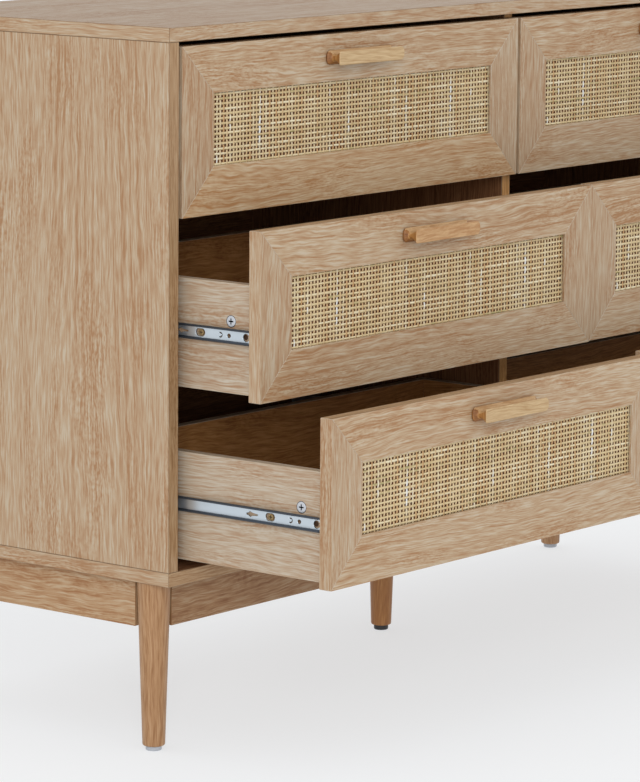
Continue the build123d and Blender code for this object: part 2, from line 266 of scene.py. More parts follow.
# The two side aprons are one sub-part, a board at each end between the legs.
low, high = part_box("side_aprons")
board_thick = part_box("left_side_panel")[1][0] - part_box("left_side_panel")[0][0]
bm = bmesh.new()
plank(bm, low, (low[0] + board_thick, high[1], high[2]))
plank(bm, (high[0] - board_thick, low[1], low[2]), high)
soften(bm, ARRIS)
bm.normal_update()
lay_grain(bm, ALONG_Y, random.Random(21))
# The side aprons take the warmer, darker copy of the foil: painted shade.
hand_over("side_aprons_foiled", bm, "carcass", [side_apron_painted_shade], ["side_aprons"])

# ---------------------------------------------------------------------------
# Back panel. Thin brown-faced hardboard, slid into grooves behind the drawers.
# ---------------------------------------------------------------------------
back_face = grained_wood("back_board", (0.300, 0.190, 0.110, 1), (0.240, 0.140, 0.075, 1), (0.150, 0.078, 0.038, 1))
bm = bmesh.new()
low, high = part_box("back_panel")
plank(bm, low, high)
bm.normal_update()
lay_grain(bm, ALONG_X, random.Random(22))
# The face turned into the cabinet takes painted shade.
for face in bm.faces:
    face.material_index = 1 if face.normal.y < -0.9 else 0
hand_over("back_panel_faced", bm, "carcass", [back_face, inner_painted_shade], ["back_panel"])

# ---------------------------------------------------------------------------
# Legs. Solid wood turned to a round taper, the foot's edge eased, lacquered.
# Each screws up into the bottom panel on a bolt; the fifth stands mid-way.
# ---------------------------------------------------------------------------
LEG_STEPS = 56
FOOT_EASE = 2.2 * MM
leg_lacquer = grained_wood("leg_lacquer", (0.410, 0.240, 0.124, 1), (0.355, 0.192, 0.086, 1),
                           (0.240, 0.108, 0.036, 1), spread=0.40, rough=0.44, coat=0.15, flecks=0.1)
# Painted shade: a darker, more orange copy of the leg lacquer for the middle leg, which stands in shade under the
# drawers.
middle_leg_painted_shade = grained_wood("middle_leg_painted_shade", (0.352, 0.160, 0.045, 1), (0.298, 0.123, 0.028, 1),
                                  (0.220, 0.078, 0.016, 1), spread=0.55, rough=0.42, coat=0.2, flecks=0.2)


def turned(bm, outline, centre, steps, chance):
    """Spin an outline of (radius, height) pairs about an upright axis."""
    verts = [bm.verts.new((centre[0] + radius, centre[1], height)) for radius, height in outline]
    edges = [bm.edges.new(pair) for pair in zip(verts, verts[1:])]
    before = set(bm.faces)
    bmesh.ops.spin(bm, geom=verts + edges, cent=(centre[0], centre[1], 0), axis=(0, 0, 1),
                   angle=math.tau, steps=steps, use_merge=True, use_duplicate=False)
    bmesh.ops.remove_doubles(bm, verts=bm.verts[:], dist=0.00001)
    layer = bm.loops.layers.uv.get("grain") or bm.loops.layers.uv.new("grain")
    start = (chance.uniform(0, 9), chance.uniform(0, 9))
    for face in bm.faces:
        if face in before:
            continue
        middle = face.calc_center_median()
        facing = math.atan2(middle.y - centre[1], middle.x - centre[0])
        for loop in face.loops:
            place = loop.vert.co - Vector((centre[0], centre[1], 0))
            angle = math.atan2(place.y, place.x) if place.xy.length > 0.0001 else facing
            angle = facing + (angle - facing + math.pi) % math.tau - math.pi
            loop[layer].uv = (place.z + start[0], angle * 0.0145 + start[1])


def leg_outline(low_z, high_z, foot_radius, top_radius):
    slope = (top_radius - foot_radius) / (high_z - low_z)
    outline = [(0.0, low_z)]
    for step in range(5):
        angle = math.pi / 2 * step / 4
        radius = foot_radius - FOOT_EASE + FOOT_EASE * math.sin(angle)
        outline.append((radius, low_z + FOOT_EASE * (1 - math.cos(angle))))
    outline.append((foot_radius + slope * 0.5 * (high_z - low_z), (low_z + high_z) / 2))
    outline.append((top_radius, high_z))
    outline.append((0.0, high_z))
    return outline


low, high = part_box("front_legs")
leg_top = (high[1] - low[1]) / 2
leg_foot = leg_top * 12.0 / 17.5
for node_name in ("front_legs", "rear_legs", "centre_support_leg"):
    low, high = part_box(node_name)
    bm = bmesh.new()
    middle_y = (low[1] + high[1]) / 2
    places = {low[0] + leg_top, high[0] - leg_top} if node_name != "centre_support_leg" else {(low[0] + high[0]) / 2}
    for number, x in enumerate(sorted(places)):
        outline = leg_outline(low[2], high[2], leg_foot, leg_top)
        turned(bm, outline, (x, middle_y), LEG_STEPS, random.Random(node_name + str(number)))
    lacquer = middle_leg_painted_shade if node_name == "centre_support_leg" else leg_lacquer
    piece = hand_over(node_name + "_turned", bm, "carcass", [lacquer], [node_name], smooth=True)
    piece.data.set_sharp_from_angle(angle=math.radians(40))

# ---------------------------------------------------------------------------
# Glides and the support leg's foot. Moulded plastic: pale nail-on glides under
# the corner legs, and a black foot on a threaded stud under the middle one.
# ---------------------------------------------------------------------------


def moulded_plastic(name, colour, rough):
    """Plain plastic with the faint mottle and sheen of a textured mould."""
    finish = bpy.data.materials.new(name)
    finish.use_nodes = True
    tree = finish.node_tree
    where = node(tree, "TexCoord").outputs["Object"]
    mottle = node(tree, "TexNoise", {"Vector": where, "Scale": 900.0, "Detail": 3.0}).outputs["Fac"]
    scuff = node(tree, "TexNoise", {"Vector": where, "Scale": 140.0, "Detail": 4.0}).outputs["Fac"]
    dark = tuple(part * 0.82 for part in colour[:3]) + (1,)
    shader = tree.nodes["Principled BSDF"]
    tree.links.new(mixed(tree, scuff, colour, dark), shader.inputs["Base Color"])
    tree.links.new(math_node(tree, "MULTIPLY_ADD", mottle, 0.2, rough), shader.inputs["Roughness"])
    bump = node(tree, "Bump", {"Height": mottle, "Strength": 0.2, "Distance": 0.05 * MM}).outputs[0]
    tree.links.new(bump, shader.inputs["Normal"])
    return finish


def rounded_disc(low_z, high_z, radius, ease):
    outline = [(0.0, low_z)]
    for step in range(4):
        angle = math.pi / 2 * step / 3
        outline.append((radius - ease + ease * math.sin(angle), low_z + ease * (1 - math.cos(angle))))
    outline += [(radius, high_z - ease * 0.4), (radius - ease * 0.4, high_z), (0.0, high_z)]
    return outline


glide_plastic = moulded_plastic("glide_plastic", (0.420, 0.440, 0.480, 1), 0.35)
foot_plastic = moulded_plastic("foot_plastic", (0.016, 0.016, 0.018, 1), 0.35)
low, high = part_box("leg_glides")
glide_radius = 8.5 * MM
bm = bmesh.new()
for x in (low[0] + glide_radius, high[0] - glide_radius):
    for y in (low[1] + glide_radius, high[1] - glide_radius):
        turned(bm, rounded_disc(low[2], high[2], glide_radius, 1.4 * MM), (x, y), 40, random.Random(31))
piece = hand_over("leg_glides_moulded", bm, "carcass", [glide_plastic], ["leg_glides"], smooth=True)
piece.data.set_sharp_from_angle(angle=math.radians(40))

low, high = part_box("support_leg_foot")
foot_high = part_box("centre_support_leg")[0][2]
middle = ((low[0] + high[0]) / 2, (low[1] + high[1]) / 2)
outline = rounded_disc(low[2], foot_high, (high[0] - low[0]) / 2, 1.6 * MM)[:-1]
outline += [(3.0 * MM, foot_high), (3.0 * MM, high[2]), (0.0, high[2])]
bm = bmesh.new()
turned(bm, outline, middle, 40, random.Random(32))
piece = hand_over("support_leg_foot_moulded", bm, "carcass", [foot_plastic], ["support_leg_foot"],
                  smooth=True)
piece.data.set_sharp_from_angle(angle=math.radians(40))

# ---------------------------------------------------------------------------
# Drawer fronts. Four foil-wrapped bars, 50 mm wide and mitred at the corners, with
# a rebate behind that takes the cane and a dark backing board.
# ---------------------------------------------------------------------------
DRAWERS = ("top_left", "top_right", "middle_left", "middle_right", "bottom_left", "bottom_right")
REBATE = 8.0 * MM
CANE_RECESS = 3.0 * MM
front_foil = grained_wood("front_foil", OAK_PALE, OAK_MIDDLE, OAK_STREAK, spread=0.85, flecks=0.50)
rail_foil = grained_wood("rail_foil", (0.492, 0.400, 0.288, 1), (0.430, 0.300, 0.182, 1), (0.325, 0.168, 0.072, 1),
                         spread=0.85, rings=0.36, flecks=0.44)
# Painted light: a brighter, more orange copy of the rail foil for the top-left front's bottom rail.
rail_painted_light = grained_wood("rail_painted_light", (0.535, 0.415, 0.275, 1), (0.468, 0.315, 0.176, 1), (0.355, 0.175, 0.065, 1),
                          spread=0.85, rings=0.40, flecks=0.40)
mitre_line = grained_wood("mitre_line", (0.520, 0.450, 0.380, 1), (0.450, 0.370, 0.290, 1), OAK_MIDDLE, rings=0.1)


def mitred_bar(bm, section, length, place):
    """A bar of this section with both ends cut at 45 degrees."""
    rings = []
    for end in (0, 1):
        ring = [bm.verts.new(place(abs(end * length - across), across, depth)) for across, depth in section]
        rings.append([bm.edges.new((ring[k - 1], ring[k])) for k in range(len(ring))])
    made = bmesh.ops.bridge_loops(bm, edges=rings[0] + rings[1])["faces"]
    for ring in rings:
        made += bmesh.ops.contextual_create(bm, geom=ring)["faces"]
    return made


def bar_placer(low, high, side):
    """Where (along, across, depth) of a frame bar falls, for the bar on one side."""
    def place(along, across, depth):
        if side == "bottom":
            return (low[0] + along, low[1] + depth, low[2] + across)
        if side == "top":
            return (low[0] + along, low[1] + depth, high[2] - across)
        if side == "left":
            return (low[0] + across, low[1] + depth, low[2] + along)
        return (high[0] - across, low[1] + depth, low[2] + along)
    return place


for seed, drawer in enumerate(DRAWERS):
    low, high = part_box(drawer + "_front_frame")
    cane_low, cane_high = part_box(drawer + "_cane_panel")
    bar = cane_low[0] + REBATE - low[0]
    thick = high[1] - low[1]
    section = [(0, 0), (bar, 0), (bar, CANE_RECESS), (bar - REBATE, CANE_RECESS), (bar - REBATE, thick), (0, thick)]
    bm = bmesh.new()
    for number, side in enumerate(("bottom", "top", "left", "right")):
        upright = side in ("left", "right")
        length = high[2] - low[2] if upright else high[0] - low[0]
        part = bmesh.new()
        mitred_bar(part, section, length, bar_placer(low, high, side))
        bmesh.ops.recalc_face_normals(part, faces=part.faces[:])
        long_edges = [edge for edge in part.edges if edge.calc_length() > bar * 1.5]
        short_edges = [edge for edge in part.edges if edge.calc_length() <= bar * 1.5]
        soften(part, 0.3 * MM, 1, short_edges)
        part.normal_update()
        for face in part.faces:
            face.material_index = 2 if max(abs(value) for value in face.normal) < 0.98 else 0
        soften(part, 0.7 * MM, 2, [edge for edge in long_edges if edge.is_valid])
        part.normal_update()
        lay_grain(part, ALONG_Z if upright else ALONG_X, random.Random(seed * 10 + number + 100))
        # Softened long edges take the paler foil: part wear, part painted highlight.
        for face in part.faces:
            if face.material_index == 0 and max(abs(value) for value in face.normal) < 0.98:
                face.material_index = 1
            if side == "top" and face.normal.z > 0.98:
                face.material_index = 3
            # The top-left front's bottom rail takes the brighter copy: painted light.
            if face.material_index == 0 and not upright:
                face.material_index = 5 if side == "bottom" and drawer == "top_left" else 4
        stage = bpy.data.meshes.new("bar")
        part.to_mesh(stage)
        part.free()
        bm.from_mesh(stage)
        bpy.data.meshes.remove(stage)
    hand_over(drawer + "_front", bm, drawer + "_drawer",
              [front_foil, oak_arris_wear_and_highlight, mitre_line, edge_band, rail_foil, rail_painted_light], [drawer + "_front_frame"])

# ---------------------------------------------------------------------------
# Cane. Flat rattan strands in a close plain weave, stretched over the opening and
# caught in the rebate, with a dark board behind that shows through the holes.
# ---------------------------------------------------------------------------
UPRIGHT_PITCH = 5.32 * MM
LEVEL_PITCH = 5.15 * MM
UPRIGHT_WIDE = 2.6 * MM
LEVEL_WIDE = 2.35 * MM
STRAND_THICK = 0.35 * MM
WEAVE_LIFT = 0.34 * MM
STRAND_CROWN = 0.18 * MM
WEAVE_SHIFT = {"top": -0.3, "middle": -0.8, "bottom": 0.3}  # mm up from the middle of the opening
UPRIGHT_TONES = ((0.0, (0.470, 0.270, 0.110, 1)), (0.22, (0.540, 0.360, 0.170, 1)), (0.62, (0.600, 0.450, 0.250, 1)),
                 (0.95, (0.640, 0.530, 0.340, 1)), (1.0, (0.740, 0.740, 0.720, 1)))
LEVEL_TONES = ((0.0, (0.360, 0.310, 0.130, 1)), (0.25, (0.540, 0.410, 0.210, 1)), (0.65, (0.620, 0.490, 0.270, 1)),
               (1.0, (0.740, 0.660, 0.460, 1)))


def cane_finish():
    """Peeled rattan: each strand its own tone, with fibres along it and dull nodes."""
    finish = bpy.data.materials.new("cane_strand")
    finish.use_nodes = True
    tree = finish.node_tree
    where = node(tree, "UVMap", uv_map="strand").outputs["UV"]
    split = node(tree, "SeparateXYZ", {0: where})
    number = math_node(tree, "FLOOR", split.outputs[1])
    level = math_node(tree, "GREATER_THAN", split.outputs[1], 500.0)
    own = node(tree, "TexWhiteNoise", {"W": number}, noise_dimensions="1D").outputs["Value"]
    drift = node(tree, "Mapping", {"Vector": where, "Scale": (26.0, 0.9, 1.0)}).outputs[0]
    drift = node(tree, "TexNoise", {"Vector": drift, "Scale": 1.0, "Detail": 2.0}).outputs["Fac"]
    drift = node(tree, "MapRange", {0: drift, 1: 0.3, 2: 0.7, 3: -0.45, 4: 0.45}).outputs[0]
    upright_tone = node(tree, "ValToRGB", {0: math_node(tree, "MULTIPLY_ADD", drift, 0.35, own)})
    level_tone = node(tree, "ValToRGB", {0: math_node(tree, "MULTIPLY_ADD", own, 0.45, math_node(
        tree, "ADD", drift, 0.33))})
    for tone, colours in ((upright_tone, UPRIGHT_TONES), (level_tone, LEVEL_TONES)):
        ramp = tone.color_ramp
        ramp.elements[0].color = colours[0][1]
        ramp.elements[1].color = colours[-1][1]
        for place, colour in colours[1:-1]:
            ramp.elements.new(place).color = colour
    colour = mixed(tree, level, upright_tone.outputs[0], level_tone.outputs[0])
    fibre = node(tree, "Mapping", {"Vector": where, "Scale": (60.0, 6.0, 1.0)}).outputs[0]
    fibre = node(tree, "TexNoise", {"Vector": fibre, "Scale": 1.0, "Detail": 3.0}).outputs["Fac"]
    shade = math_node(tree, "MULTIPLY_ADD", fibre, 0.36, 0.82)
    grey = node(tree, "CombineColor", {0: shade, 1: shade, 2: shade}).outputs[0]
    shader = tree.nodes["Principled BSDF"]
    tree.links.new(mixed(tree, 1.0, colour, grey, "MULTIPLY"), shader.inputs["Base Color"])
    tree.links.new(math_node(tree, "MULTIPLY_ADD", fibre, 0.2, 0.32), shader.inputs["Roughness"])
    bump = node(tree, "Bump", {"Height": fibre, "Strength": 0.3, "Distance": 0.08 * MM}).outputs[0]
    tree.links.new(bump, shader.inputs["Normal"])
    return finish


def lay_strand(bm, layer, start, length, wide, upright, pitch, crossings, over_first, number):
    """One flat strand that rises over and dips under every crossing strand."""
    made = bmesh.ops.create_grid(bm, x_segments=2, y_segments=crossings * 2, size=1.0)
    middle = (crossings - 1) / 2
    for vert in made["verts"]:
        side = vert.co.x
        along = (vert.co.y + 1) / 2 * length
        crossing = (along - length / 2) / pitch + middle
        lift = WEAVE_LIFT * math.cos(math.pi * crossing) * (1 if over_first else -1)
        depth = start[1] - lift + STRAND_CROWN * side * side
        if upright:
            vert.co = (start[0] + side * wide / 2, depth, start[2] + along)
        else:
            vert.co = (start[0] + along, depth, start[2] + side * wide / 2)
    for face in {face for vert in made["verts"] for face in vert.link_faces}:
        for loop in face.loops:
            place = loop.vert.co
            along = place.z - start[2] if upright else place.x - start[0]
            side = place.x - start[0] if upright else place.z - start[2]
            loop[layer].uv = (along + number * 0.37, number + 0.5 + side / wide * 0.9)


cane = cane_finish()
dark_backing = grained_wood("dark_backing", (0.150, 0.046, 0.010, 1), (0.110, 0.030, 0.006, 1),
                            (0.065, 0.017, 0.003, 1), rough=0.6)
for seed, drawer in enumerate(DRAWERS):
    low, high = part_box(drawer + "_cane_panel")
    chance = random.Random(200 + seed)
    weave_y = low[1] + 1.1 * MM
    bm = bmesh.new()
    layer = bm.loops.layers.uv.new("strand")
    uprights = int((high[0] - low[0]) / UPRIGHT_PITCH) - 1
    levels = int((high[2] - low[2]) / LEVEL_PITCH)
    middle_x = (low[0] + high[0]) / 2
    middle_z = (low[2] + high[2]) / 2 + WEAVE_SHIFT[drawer.split("_")[0]] * MM
    for number in range(uprights):
        x = middle_x + (number - (uprights - 1) / 2) * UPRIGHT_PITCH + chance.gauss(0, 0.16) * MM
        wide = UPRIGHT_WIDE * chance.uniform(0.88, 1.14)
        start = (x, weave_y, middle_z - levels * LEVEL_PITCH / 2)
        lay_strand(bm, layer, start, levels * LEVEL_PITCH, wide, True, LEVEL_PITCH, levels, number % 2 == 0, number)
    for number in range(levels):
        z = middle_z + (number - (levels - 1) / 2) * LEVEL_PITCH + chance.gauss(0, 0.14) * MM
        wide = LEVEL_WIDE * chance.uniform(0.88, 1.14)
        start = (middle_x - uprights * UPRIGHT_PITCH / 2, weave_y, z)
        over = number % 2 == 1
        lay_strand(bm, layer, start, uprights * UPRIGHT_PITCH, wide, False, UPRIGHT_PITCH, uprights, over,
                   number + 1000 + 40 * seed)
    bmesh.ops.solidify(bm, geom=bm.faces[:], thickness=STRAND_THICK)
    hand_over(drawer + "_cane", bm, drawer + "_drawer", [cane], [drawer + "_cane_panel"], smooth=True)

    backing_y = low[1] + 2.0 * MM
    bm = bmesh.new()
    plank(bm, (low[0], backing_y, low[2]), high)
    bm.normal_update()
    lay_grain(bm, ALONG_X, chance)
    # The back face, inside the drawer, takes painted shade.
    for face in bm.faces:
        face.material_index = 1 if face.normal.y > 0.5 else 0
    hand_over(drawer + "_backing", bm, drawer + "_drawer", [dark_backing, inner_painted_shade],
              [drawer + "_cane_panel"])

# ---------------------------------------------------------------------------
# Handles. A solid bar of pale hardwood shaped like a flat spool: a wide foot on
# the front, a hollowed waist all round and a flat face. Oiled, screwed from inside.
# ---------------------------------------------------------------------------
handle_face = grained_wood("handle_face", (0.560, 0.400, 0.215, 1), (0.480, 0.325, 0.162, 1),
                           (0.380, 0.225, 0.090, 1), spread=0.6, rings=0.15, rough=0.38, coat=0.15, flecks=0.4)
handle_side = grained_wood("handle_side", (0.440, 0.226, 0.078, 1), (0.365, 0.172, 0.048, 1),
                           (0.260, 0.106, 0.024, 1), spread=0.5, rings=0.2, rough=0.42)
amber_face = grained_wood("amber_handle_face", (0.530, 0.325, 0.155, 1), (0.455, 0.262, 0.112, 1),
                          (0.370, 0.180, 0.062, 1), spread=0.6, rings=0.4, rough=0.38, coat=0.15, flecks=0.4)
# Darkest wood for the foot: end grain on the ends, and painted shade all round where the handle meets the front.
handle_rim_grain_and_shade = grained_wood("handle_rim_grain_and_shade", (0.300, 0.126, 0.032, 1), (0.235, 0.092, 0.020, 1),
                          (0.160, 0.054, 0.011, 1), spread=0.5, rings=0.2, rough=0.42)
# Painted light: a lighter copy of the side wood for the handle's top faces.
handle_top_painted_light = grained_wood("handle_top_painted_light", (0.520, 0.335, 0.168, 1), (0.450, 0.270, 0.120, 1),
                          (0.350, 0.180, 0.062, 1), spread=0.5, rings=0.2, rough=0.42)
RIM = 2.4 * MM  # thickness of the foot's rim
DARK_FOOT = 5.2 * MM  # how far out from the front the dark band shows: end grain on the ends, painted shade round the foot
COVE = 7.4 * MM  # where the waist is narrowest, out from the front
WAIST_IN = 3.8 * MM
RIM_EASE = 0.9 * MM
FACE_IN = 0.3 * MM
FACE_EASE = 0.6 * MM
HANDLE_RINGS = 17
CORNER_STEPS = 6


def handle_inset(depth, proud):
    """How far the sides lie inside the foot's outline, at this distance out."""
    if depth < RIM:
        return RIM_EASE * (1 - math.sqrt(max(0.0, 1 - (1 - depth / RIM) ** 2)))
    if depth < COVE:
        return WAIST_IN * (1 - math.cos(math.pi * ((depth - RIM) / (COVE - RIM)) ** 0.75)) / 2
    flare = math.cos(math.pi / 2 * (depth - COVE) / (proud - COVE))
    return FACE_IN + (WAIST_IN - FACE_IN) * flare ** 1.1


def rounded_ring(bm, centre, half_x, half_z, corner_left, corner_right):
    """A closed loop of edges: a rectangle with its left and right corners rounded."""
    verts = []
    for quarter, (way_x, way_z) in enumerate(((1, 1), (-1, 1), (-1, -1), (1, -1))):
        radius = corner_right if way_x > 0 else corner_left
        for step in range(CORNER_STEPS + 1):
            angle = math.pi / 2 * (quarter + step / CORNER_STEPS)
            x = way_x * (half_x - radius) + radius * math.cos(angle)
            z = way_z * (half_z - radius) + radius * math.sin(angle)
            verts.append(bm.verts.new((centre[0] + x, centre[1], centre[2] + z)))
    return [bm.edges.new((verts[k - 1], verts[k])) for k in range(len(verts))]


for seed, drawer in enumerate(DRAWERS):
    low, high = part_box(drawer + "_handle")
    middle = (Vector(low) + Vector(high)) / 2
    half = (Vector(high) - Vector(low)) / 2
    proud = high[1] - low[1]
    bm = bmesh.new()
    rings = []
    for step in range(HANDLE_RINGS + 1):
        share = step / HANDLE_RINGS
        inset = handle_inset(share * proud, proud)
        left = (5.0 - 3.0 * share) * MM
        right = (5.0 + 1.0 * share) * MM
        centre = (middle.x, high[1] - share * proud, middle.z)
        rings.append(rounded_ring(bm, centre, half.x - inset, half.z - inset, left, right))
    rings.append(rounded_ring(bm, (middle.x, low[1] - 0.0, middle.z), half.x - FACE_IN - 0.5 * MM,
                              half.z - FACE_IN - 0.5 * MM, 1.8 * MM, 5.5 * MM))
    for vert in {vert for edge in rings[-2] for vert in edge.verts}:
        vert.co.y += 0.5 * MM
    for first, second in zip(rings, rings[1:]):
        bmesh.ops.bridge_loops(bm, edges=first + second)
    for ring in (rings[0], rings[-1]):
        bmesh.ops.contextual_create(bm, geom=ring)
    bmesh.ops.recalc_face_normals(bm, faces=bm.faces[:])
    bm.normal_update()
    lay_grain(bm, ALONG_X, random.Random(300 + seed))
    for face in bm.faces:
        middle_y = face.calc_center_median().y
        if face.normal.y < -0.6 and middle_y < low[1] + FACE_EASE:
            face.material_index = 0
        # Top faces beyond the rim take the lighter copy: painted light from above.
        elif face.normal.z > 0.5 and middle_y < high[1] - RIM:
            face.material_index = 3
        # Near the front every remaining face takes the darkest wood: end grain on the ends, painted shade round the
        # foot.
        else:
            face.material_index = 2 if middle_y > high[1] - DARK_FOOT else 1
    face_wood = amber_face if drawer == "middle_left" else handle_face
    piece = hand_over(drawer + "_pull", bm, drawer + "_drawer",
                      [face_wood, handle_side, handle_rim_grain_and_shade, handle_top_painted_light], [drawer + "_handle"], smooth=True)
    piece.data.set_sharp_from_angle(angle=math.radians(32))

# ---------------------------------------------------------------------------
# Drawer boxes. 12 mm board, light foil outside and painted shade in dark brown on
# the inside faces, with a thin bottom let into grooves. The sides meet the front in
# a butt joint.
# ---------------------------------------------------------------------------
BOX_BOARD = 12.0 * MM
BOTTOM_UP = 10.0 * MM
BOTTOM_THICK = 3.0 * MM
box_foil = grained_wood("box_foil", (0.475, 0.410, 0.325, 1), (0.420, 0.325, 0.232, 1), (0.335, 0.202, 0.114, 1))
# Painted shade: a dark brown copy of the box foil for the faces inside the drawer.
box_inner_painted_shade = grained_wood("box_inner_painted_shade", (0.430, 0.215, 0.075, 1), (0.340, 0.155, 0.045, 1), (0.210, 0.085, 0.020, 1),
                         rough=0.5)
for seed, drawer in enumerate(DRAWERS):
    low, high = (Vector(corner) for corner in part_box(drawer + "_drawer_box"))
    chance = random.Random(400 + seed)
    inner_low, inner_high = low.x + BOX_BOARD, high.x - BOX_BOARD
    back_y = high.y - BOX_BOARD
    base_z = low.z + BOTTOM_UP
    boards = {
        "left_side": ((low.x, low.y, low.z), (inner_low, high.y, high.z), ALONG_Y, Vector((1, 0, 0))),
        "right_side": ((inner_high, low.y, low.z), (high.x, high.y, high.z), ALONG_Y, Vector((-1, 0, 0))),
        "back": ((inner_low, back_y, low.z), (inner_high, high.y, high.z), ALONG_X, Vector((0, -1, 0))),
        "base": ((inner_low, low.y, base_z), (inner_high, back_y, base_z + BOTTOM_THICK), ALONG_Y,
                 Vector((0, 0, 1))),
    }
    for board, (start, end, grain, inward) in boards.items():
        bm = bmesh.new()
        plank(bm, start, end)
        if board != "base":
            soften(bm, 0.5 * MM)
        bm.normal_update()
        lay_grain(bm, grain, chance)
        mark_arris(bm)
        # Faces turned into the drawer take painted shade.
        for face in bm.faces:
            if face.normal.dot(inward) > 0.99:
                face.material_index = 2
        hand_over(f"{drawer}_box_{board}", bm, drawer + "_drawer",
                  [box_foil, oak_arris_wear_and_highlight, box_inner_painted_shade], [drawer + "_drawer_box"])

# ---------------------------------------------------------------------------
# Drawer slides. Each drawer member is zinc-plated sheet with rolled edges for the
# ball races, pierced for its screws. The rolled edges, sheet edges and hole walls are
# painted dark as painted shade and painted dark reflection, and dark discs on the box
# side behind the holes are painted shadow. The rest stays as designed.
# ---------------------------------------------------------------------------
SHEET = 1.2 * MM
WEB_HALF = 5.2 * MM
ROLL = ((1.6, 5.2), (1.9, 6.6), (2.9, 7.6), (4.4, 7.9), (6.0, 7.4), (7.0, 6.3))  # mm out from the box side, up
WEB_OUT = 1.6 * MM
PILOT_HOLE_SHADOWS = ((7.4, 2.9), (28.0, 1.5))  # mm back from the front, radius: flat dark discs on the box side, painted shadow of pilot holes
LONG_HOLE = (65.3, 6.2, 4.1)  # middle behind the member's front end, half length, radius
FRONT_HOLE = (5.0, 0.0, 4.2)
SMALL_HOLE = (27.5, 0.0, 2.3)
TAB_AT = 39.0
TAB_OUTER = 2.9
TAB_INNER = 1.7
ARROW_HALF = ((81.5, 0.7), (88.0, 1.5), (91.8, 2.9), (94.0, 1.2), (96.5, 0.9))
REAR_SCREW_AT = 272.0


def zinc(name, colour, rough, brush=(300.0, 6.0, 300.0)):
    """Bright zinc plate: cool, faintly brushed along its length and clouded."""
    finish = bpy.data.materials.new(name)
    finish.use_nodes = True
    tree = finish.node_tree
    where = node(tree, "TexCoord").outputs["Object"]
    cloud = node(tree, "TexNoise", {"Vector": where, "Scale": 45.0, "Detail": 3.0}).outputs["Fac"]
    lined = node(tree, "Mapping", {"Vector": where, "Scale": brush}).outputs[0]
    lined = node(tree, "TexNoise", {"Vector": lined, "Scale": 3.0, "Detail": 2.0}).outputs["Fac"]
    dull = tuple(part * 0.86 for part in colour[:3]) + (1,)
    shader = tree.nodes["Principled BSDF"]
    tree.links.new(mixed(tree, cloud, colour, dull), shader.inputs["Base Color"])
    shader.inputs["Metallic"].default_value = 0.85
    tree.links.new(math_node(tree, "MULTIPLY_ADD", lined, 0.16, rough), shader.inputs["Roughness"])
    bump = node(tree, "Bump", {"Height": lined, "Strength": 0.12, "Distance": 0.03 * MM}).outputs[0]
    tree.links.new(bump, shader.inputs["Normal"])
    return finish


def closed_loop(bm, points):
    """Edges through (behind, up) points in millimetres, on the plane x = 0."""
    verts = [bm.verts.new((0, behind * MM, up * MM)) for behind, up in points]
    return [bm.edges.new((verts[k - 1], verts[k])) for k in range(len(verts))]


def long_hole(middle, half_length, radius, steps=20):
    """Points round a hole, drawn out along the slide by half_length - radius each way."""
    stretch = max(half_length - radius, 0.0)
    angles = [math.tau * (k + 0.5) / steps for k in range(steps)]
    return [(middle + radius * math.cos(a) + math.copysign(stretch, math.cos(a)), radius * math.sin(a)) for a in angles]


def tab_slit():
    """The C-shaped slit round a punched catch."""
    sweep = [math.radians(-120 + 240 * k / 10) for k in range(11)]
    outer = [(TAB_AT - TAB_OUTER * math.cos(a), TAB_OUTER * math.sin(a)) for a in sweep]
    inner = [(TAB_AT - TAB_INNER * math.cos(a), TAB_INNER * math.sin(a)) for a in reversed(sweep)]
    return outer + inner


